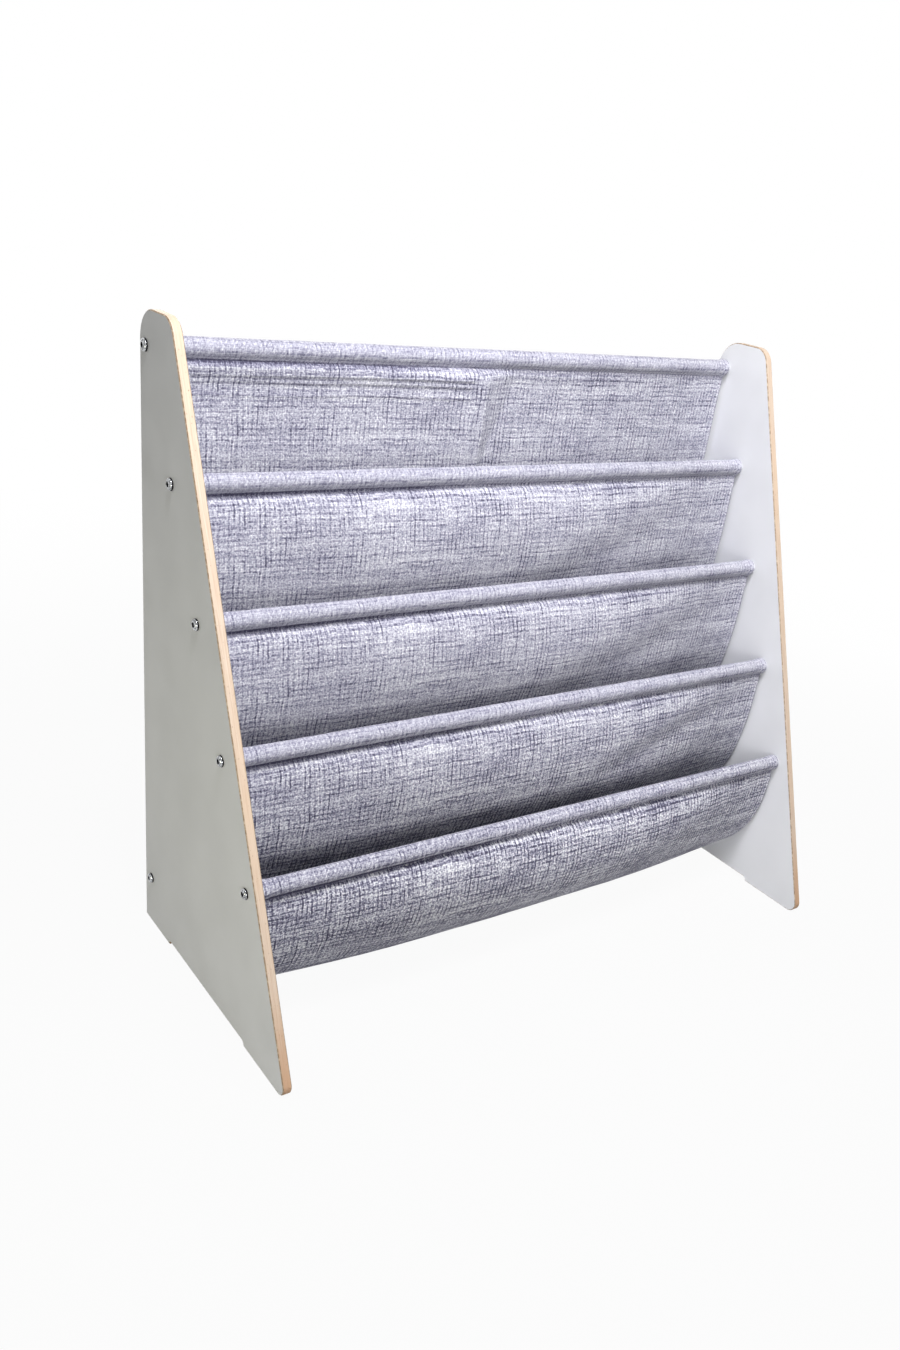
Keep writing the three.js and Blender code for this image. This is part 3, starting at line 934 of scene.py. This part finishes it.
def hem_relief(x):
    """A shallow groove under the stitches of each side hem, and a slight swell outside it."""
    inset = CLOTH_END - np.abs(x)
    swell = HEM_SWELL * bell(inset - HEM_SWELL_INSET, HEM_SWELL_WIDTH)
    return swell - HEM_GROOVE * bell(inset - SIDE_STITCH, PINCH_WIDTH)


def sleeve_relief(x, s, first, last, seed):
    """Slight wrinkles on the rolled cloth, stronger and slanted at the ends."""
    on = bell(s - (first + last) / 2, (last - first) / 2)
    ends = bell(CLOTH_END - np.abs(x), SLEEVE_ENDS)
    lumps = waves(x, s, SLEEVE_LUMPS, seed)
    slanted = waves(x + SLEEVE_SLANT * s, s, SLEEVE_SLANTS, seed + 1) * ends
    return on * (lumps + slanted)


def soft_fold(x, z, start, end, width, height):
    """A ridge, or a valley where height is negative, from one (x, z) point to another."""
    start, end = np.asarray(start), np.asarray(end)
    way = end - start
    share = ((x - start[0]) * way[0] + (z - start[1]) * way[1]) / (way @ way)
    inside = np.clip(share, 0, 1)
    off = np.hypot(x - start[0] - inside * way[0], z - start[1] - inside * way[1])
    fade = np.sin(inside * PI) ** SOFT_FOLD_FADE
    return height * fade * bell(off, width)


def shell(places, thickness_in, thickness_out):
    """A closed sheet round a grid of places, with a rounded rim. Its vertices are the outer face, the
    inner face and the rim. grid_of gives the place in the grid that each vertex belongs to."""
    across = np.gradient(places, axis=0)
    along = np.gradient(places, axis=1)
    normals = unit(np.cross(along, across))
    outer = places + normals * thickness_out[:, :, None]
    inner = places - normals * thickness_in[:, :, None]
    rows, points = places.shape[:2]
    number = np.arange(rows * points).reshape(rows, points)
    border = np.r_[number[0, :-1], number[:-1, -1], number[-1, :0:-1], number[:0:-1, 0]]
    outward = np.zeros_like(places)
    step, run = unit(across), unit(along)
    outward[0] -= step[0]
    outward[-1] += step[-1]
    outward[:, 0] -= run[:, 0]
    outward[:, -1] += run[:, -1]
    half = ((thickness_in + thickness_out) / 2).ravel()[border, None]
    middle = (outer + inner).reshape(-1, 3)[border] / 2
    rim = middle + outward.reshape(-1, 3)[border] * half * RIM_ROUNDNESS
    vertices = np.concatenate([outer.reshape(-1, 3), inner.reshape(-1, 3), rim])
    size = rows * points
    a, b, c, d = number[:-1, :-1], number[:-1, 1:], number[1:, 1:], number[1:, :-1]
    front = np.stack([a, b, c, d], 2).reshape(-1, 4)
    rear = front[:, ::-1] + size
    around = np.arange(len(border))
    after = (around + 1) % len(border)
    rim_number = 2 * size + around
    upper = np.stack([border, rim_number, rim_number[after], border[after]], 1)
    lower = np.stack([rim_number, border + size, border[after] + size, rim_number[after]], 1)
    faces = np.concatenate([front, rear, upper, lower])
    grid_of = np.r_[np.arange(size), np.arange(size), border]
    return vertices, faces, grid_of, outer, inner, normals


def stitch_row(points, directions, normals):
    """Vertices and faces of one small grain of thread for each point."""
    around = np.arange(GRAIN_SIDES) * 2 * PI / GRAIN_SIDES
    vertices, faces = [], []
    for point, along, up in zip(points, directions, normals):
        along = unit(along)
        side = unit(np.cross(up, along))
        first = len(vertices)
        for share, girth in GRAIN_RINGS:
            sunk = -GRAIN_SINK * THREAD_RADIUS * share**2
            middle = point + along * share * STITCH_LENGTH / 2 + up * sunk
            for angle in around:
                spoke = side * math.cos(angle) + up * math.sin(angle)
                vertices.append(middle + spoke * THREAD_RADIUS * girth)
        for j in range(len(GRAIN_RINGS) - 1):
            here, above = first + j * GRAIN_SIDES, first + (j + 1) * GRAIN_SIDES
            for i in range(GRAIN_SIDES):
                after = (i + 1) % GRAIN_SIDES
                faces.append((here + i, here + after, above + after, above + i))
        last = first + (len(GRAIN_RINGS) - 1) * GRAIN_SIDES
        faces.append(tuple(range(first, first + GRAIN_SIDES))[::-1])
        faces.append(tuple(range(last, last + GRAIN_SIDES)))
    return vertices, faces


def sample_run(points, normals, pitch):
    """Evenly spaced places, directions and normals along a run of points."""
    length = run_lengths(points)
    spots = np.arange(pitch / 2, length[-1], pitch)

    def sampled(values):
        return np.stack([np.interp(spots, length, values[:, k]) for k in range(3)], 1)

    return sampled(points), sampled(np.gradient(points, axis=0)), unit(sampled(normals))


def make_sheet(name, node, line, lift, rows, materials):
    """A sheet of cloth along a centre line, and the stitches along its rows and side hems.
    rows are (run length, face) pairs, where face is outer or inner. The side hems are turned to the
    inner face, but to the outer one on the sleeves, so that they clear the rods."""
    s = run_lengths(line)
    x_grid, s_grid = np.meshgrid(columns, s, indexing="ij")
    z_grid = np.broadcast_to(line[:, 1], x_grid.shape)
    height = lift(x_grid, s_grid, z_grid) + hem_relief(x_grid)
    normal = line_normals(line)
    places = np.empty((*x_grid.shape, 3))
    places[:, :, 0] = x_grid
    places[:, :, 1] = line[:, 0] + normal[:, 0] * height
    places[:, :, 2] = line[:, 1] + normal[:, 1] * height
    half = np.full(x_grid.shape, CLOTH_THICKNESS / 2)
    inset = CLOTH_END - np.abs(x_grid)
    past_hem = np.minimum((inset - SIDE_HEM) / HEM_STEP_SOFTNESS, HEM_STEP_LIMIT)
    turned = HEM_THICKENING * CLOTH_THICKNESS / (1 + np.exp(past_hem))
    from_rod = np.min([np.hypot(*(line - rod).T) for rod in rods.values()], axis=0)
    outward = 1 / (1 + np.exp((from_rod - HEM_OUTWARD) / HEM_TURN_SOFTNESS))
    thickness_in, thickness_out = half + turned * (1 - outward), half + turned * outward
    vertices, faces, grid_of, outer, inner, normals = shell(places, thickness_in, thickness_out)
    uvs = np.stack([x_grid.ravel(), s_grid.ravel()], 1)[grid_of]
    sheet = mesh_object(name, vertices, faces, uvs, [materials["linen"]])
    runs = []
    for place, face in rows:
        row = int(np.argmin(np.abs(s - place)))
        side = 1 if face == "outer" else -1
        points = (outer if side == 1 else inner)[:, row]
        runs.append((points, side * normals[:, row]))
    for sign in (-1, 1):
        column = int(np.argmin(np.abs(columns - sign * (CLOTH_END - SIDE_STITCH))))
        runs.append((outer[column], normals[column]))
    vertices, faces = [], []
    for points, up in runs:
        more, joined = stitch_row(*sample_run(points, up, STITCH_PITCH))
        faces += [tuple(k + len(vertices) for k in face) for face in joined]
        vertices += more
    stitches = mesh_object(name + "_stitches", vertices, faces, None, [materials["thread"]])
    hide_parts(node)


def make_pocket(index, materials):
    """One pocket cloth, with its billow, soft folds, sleeve wrinkles and puckered stitch row."""
    line = pocket_line(index)
    s = run_lengths(line)
    stitch = s[STITCH_POINT]
    lowest = s[int(np.argmin(line[:, 1]))]
    end = s[-1]

    def lift(x, along, z):
        front = np.clip((along - stitch) / (lowest - stitch), 0, 1)
        swell = BILLOW_HEIGHT * bell((x / CLOTH_END - BILLOW_PLACES[index]) ** 2, BILLOW_SPREAD**2)
        total = swell * np.sin(front**BILLOW_SKEW * PI)
        weight = np.sin(front * PI) ** SWELL_FADE
        for fold in POCKET_FOLDS[index]:
            total = total + weight * soft_fold(x, z, *fold)
        total = total + weight * waves(x, along, FRONT_WAVES, FRONT_SEED + index)
        total = total + weight * waves(x, along, FINE_WAVES, FINE_SEED + index)
        total = total + sewn_relief(x, along, stitch, STITCH_SEED + index)
        total = total + sleeve_relief(x, along, s[ROLL_FIRST], s[ROLL_LAST], SLEEVE_SEED + index)
        rear = np.clip((along - lowest) / (end - SEAM_FLANGE - lowest), 0, 1)
        return total + np.sin(rear * PI) * waves(x, along, REAR_WAVES, REAR_SEED + index)

    rows = [(stitch, "outer"), (s[HEM_POINT], "inner"), (end - SEAM_FLANGE / 2, "inner")]
    name = f"pocket_{index + 1}"
    node = f"pocket_cloth_{index + 1}"
    make_sheet("linen_" + name, node, line, lift, rows, materials)


def make_back(materials):
    """The back sheet, with the packing fold under its top sleeve and the crease down its middle."""
    line = back_line()
    s = run_lengths(line)
    whole = s[-1]
    top_stitch, low_stitch = s[STITCH_POINT], whole - s[STITCH_POINT]
    roll_first, roll_last = s[ROLL_FIRST], s[ROLL_LAST]
    crease_level = rods["top"][1] - CREASE_DROP
    fade_drop = crease_level - (rods["pocket_1"][1] - POCKET_DEPTH / 2)

    def lift(x, along, z):
        hangs = (along > roll_last) & (along < whole - roll_last)
        drop = np.where(hangs, np.clip(crease_level - z, 0, fade_drop), 0)
        fade = np.cos(PI / 2 * drop / fade_drop)
        fold = drop / FOLD_DROP * np.exp(1 - drop / FOLD_DROP)
        left = (1 - x / CLOTH_END) / 2
        across = x - CREASE_PLACE
        right_width = np.clip(CREASE_RIGHT_TOP - drop * CREASE_NARROWING, CREASE_RIGHT_LOW, None)
        right_side = np.clip(1 - across / right_width, 0, 1) ** CREASE_RIGHT_CURVE
        crease = np.where(across < 0, np.exp(np.minimum(across, 0) / CREASE_LEFT), right_side)
        crease = CREASE_HEIGHT * crease * (1 - np.exp(-drop / FOLD_DROP))
        total = fade * (FOLD_HEIGHT * left * fold + crease)
        folded = 1 - FOLD_LEFT_LOSS * bell(x + CLOTH_END, FOLD_LEFT_REACH)
        folded = folded / (1 + np.exp((x + FOLD_END) / FOLD_END_SOFTNESS))
        for edge, depth in FOLD_EDGES:
            wander = FOLD_EDGE_WANDER * ripple(x / FOLD_EDGE_CELL, edge / MM, FOLD_EDGE_SEED)
            past = drop - edge - wander
            ridge = np.where(past < 0, np.exp(past / FOLD_RISE), np.exp(-past / FOLD_FALL))
            total = total + depth * folded * ridge
        total = np.where(hangs, total, 0)
        down = np.clip((along - top_stitch) / (low_stitch - top_stitch), 0, 1)
        middle = np.where(hangs, np.sin(down * PI), 0)
        total = total + middle * waves(x, along, BACK_WAVES, BACK_SEED)
        for stitch, seed in zip((top_stitch, low_stitch), BACK_STITCH_SEEDS):
            total = total + sewn_relief(x, along, stitch, seed)
        total = total + sleeve_relief(x, along, roll_first, roll_last, BACK_SLEEVE_SEEDS[0])
        low_first, low_last = whole - roll_last, whole - roll_first
        return total + sleeve_relief(x, along, low_first, low_last, BACK_SLEEVE_SEEDS[1])

    rows = [
        (top_stitch, "outer"),
        (s[HEM_POINT], "inner"),
        (low_stitch, "outer"),
        (whole - s[HEM_POINT], "inner"),
    ]
    for index in range(POCKET_COUNT):
        seam = pocket_seam(index)[2] + SEAM_FLANGE / 2
        hanging = np.abs(line[:, 1] - seam) + np.where((s > top_stitch) & (s < low_stitch), 0, 1)
        rows.append((s[int(np.argmin(hanging))], "inner"))
    make_sheet("linen_back", "back_sheet", line, lift, rows, materials)


def dress_node(name, material):
    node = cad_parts[name]
    for slot in node.material_slots:
        slot.material = material


def build_shelf():
    boards = [laminate_material(), core_material(), arris_material()]
    screw_steel = [
        steel_material("zinc_screw", *SCREW_STEEL),
        steel_material("zinc_screw_painted_shade_and_reflection", *PAINTED_SHADE_AND_REFLECTION_STEEL),
    ]
    plug_steel = steel_material("zinc_plug", *PLUG_STEEL)
    painted = painted_material()
    cloth = {"linen": linen_material(), "thread": thread_material()}
    turns = np.random.default_rng(SEED).uniform(0, PI / 3, 2 * len(rod_names))
    for side in sides:
        make_board(side, boards)
    for number, name in enumerate(rod_names):
        dress_node("rod_" + name, painted)
        for side in sides:
            make_screw(name, side, screw_steel, turns[2 * number + (side == "right")])
            dress_node(f"rod_plug_{name}_{side}", plug_steel)
    make_back(cloth)
    for index in range(POCKET_COUNT):
        make_pocket(index, cloth)


def make_floor():
    """A pale floor that keeps the shadow near the shelf and fades to white further away."""
    s = Shader("pale_floor")
    path = s.add("ShaderNodeLightPath").outputs
    white = s.add("ShaderNodeEmission", {"Color": (1, 1, 1, 1), "Strength": 1.0}).outputs[0]
    place = s.position()
    distance = s.add("ShaderNodeVectorMath", {0: place}, operation="LENGTH").outputs["Value"]
    shown = s.math("MAXIMUM", path["Is Camera Ray"], path["Is Glossy Ray"])
    share = s.times(shown, s.spread(distance, WHITE_NEAR, WHITE_FAR, FLOOR_SHOWN_WHITE, 1.0))
    mixed = s.add("ShaderNodeMixShader", {0: share, 1: s.surface.outputs[0], 2: white}).outputs[0]
    s.put(s.tree.nodes["Material Output"].inputs["Surface"], mixed)
    s.finish(Base_Color=linear(FLOOR_COLOUR), Roughness=0.9, Specular_IOR_Level=0.0)
    half = FLOOR_SIZE / 2
    corners = [(-half, -half, 0), (half, -half, 0), (half, half, 0), (-half, half, 0)]
    mesh = bpy.data.meshes.new("floor")
    mesh.from_pydata(corners, [], [(0, 1, 2, 3)])
    mesh.materials.append(s.material)
    scene_object("floor", mesh)


def make_world():
    """Faint light from all round, on a background that shows white."""
    world = bpy.data.worlds.new("studio")
    bpy.context.scene.world = world
    world.use_nodes = True
    tree = world.node_tree
    sky = tree.nodes["Background"]
    sky.inputs["Color"].default_value = SKY_COLOUR
    sky.inputs["Strength"].default_value = SKY_LEVEL
    backdrop = tree.nodes.new("ShaderNodeBackground")
    backdrop.inputs["Color"].default_value = (1, 1, 1, 1)
    path = tree.nodes.new("ShaderNodeLightPath")
    mixed = tree.nodes.new("ShaderNodeMixShader")
    shown = tree.nodes.new("ShaderNodeMath")
    shown.operation = "MAXIMUM"
    tree.links.new(path.outputs["Is Camera Ray"], shown.inputs[0])
    tree.links.new(path.outputs["Is Glossy Ray"], shown.inputs[1])
    tree.links.new(shown.outputs[0], mixed.inputs[0])
    tree.links.new(sky.outputs[0], mixed.inputs[1])
    tree.links.new(backdrop.outputs[0], mixed.inputs[2])
    tree.links.new(mixed.outputs[0], tree.nodes["World Output"].inputs["Surface"])


def make_lamp(name, place, aim, size, power, spread, colour):
    light = bpy.data.lights.new(name, "AREA")
    light.shape = "RECTANGLE"
    light.size, light.size_y = size
    light.energy = power
    light.color = colour
    light.spread = math.radians(spread)
    lamp = scene_object(name, light)
    lamp.location = place
    lamp.rotation_euler = (Vector(aim) - Vector(place)).to_track_quat("-Z", "Y").to_euler()
    lamp.visible_camera = False
    lamp.visible_glossy = True


def make_camera():
    """The photograph's camera, from its yaw, pitch and roll."""
    flat = math.cos(CAMERA_PITCH)
    along = Vector((math.sin(CAMERA_YAW) * flat, math.cos(CAMERA_YAW) * flat, math.sin(CAMERA_PITCH)))
    level = Vector((math.cos(CAMERA_YAW), -math.sin(CAMERA_YAW), 0))
    upright = level.cross(along)
    right = math.cos(CAMERA_ROLL) * level + math.sin(CAMERA_ROLL) * upright
    up = math.cos(CAMERA_ROLL) * upright - math.sin(CAMERA_ROLL) * level
    data = bpy.data.cameras.new("camera")
    data.sensor_width = SENSOR
    data.lens = SENSOR * FOCAL_PIXELS / PHOTO_HEIGHT
    data.shift_y = HORIZON_DROP_PIXELS / PHOTO_HEIGHT
    camera = scene_object("camera", data)
    turn = Matrix((right, up, -along)).transposed().to_4x4()
    camera.matrix_world = Matrix.Translation(Vector(CAMERA_PLACE)) @ turn
    bpy.context.scene.camera = camera


build_shelf()
make_floor()
make_world()
for lamp_name, lamp_values in LAMPS.items():
    make_lamp(lamp_name, *lamp_values, LEFT_COLOUR if lamp_name == "left_board" else LAMP_COLOUR)
make_camera()
bpy.context.scene.view_settings.view_transform = "Standard"
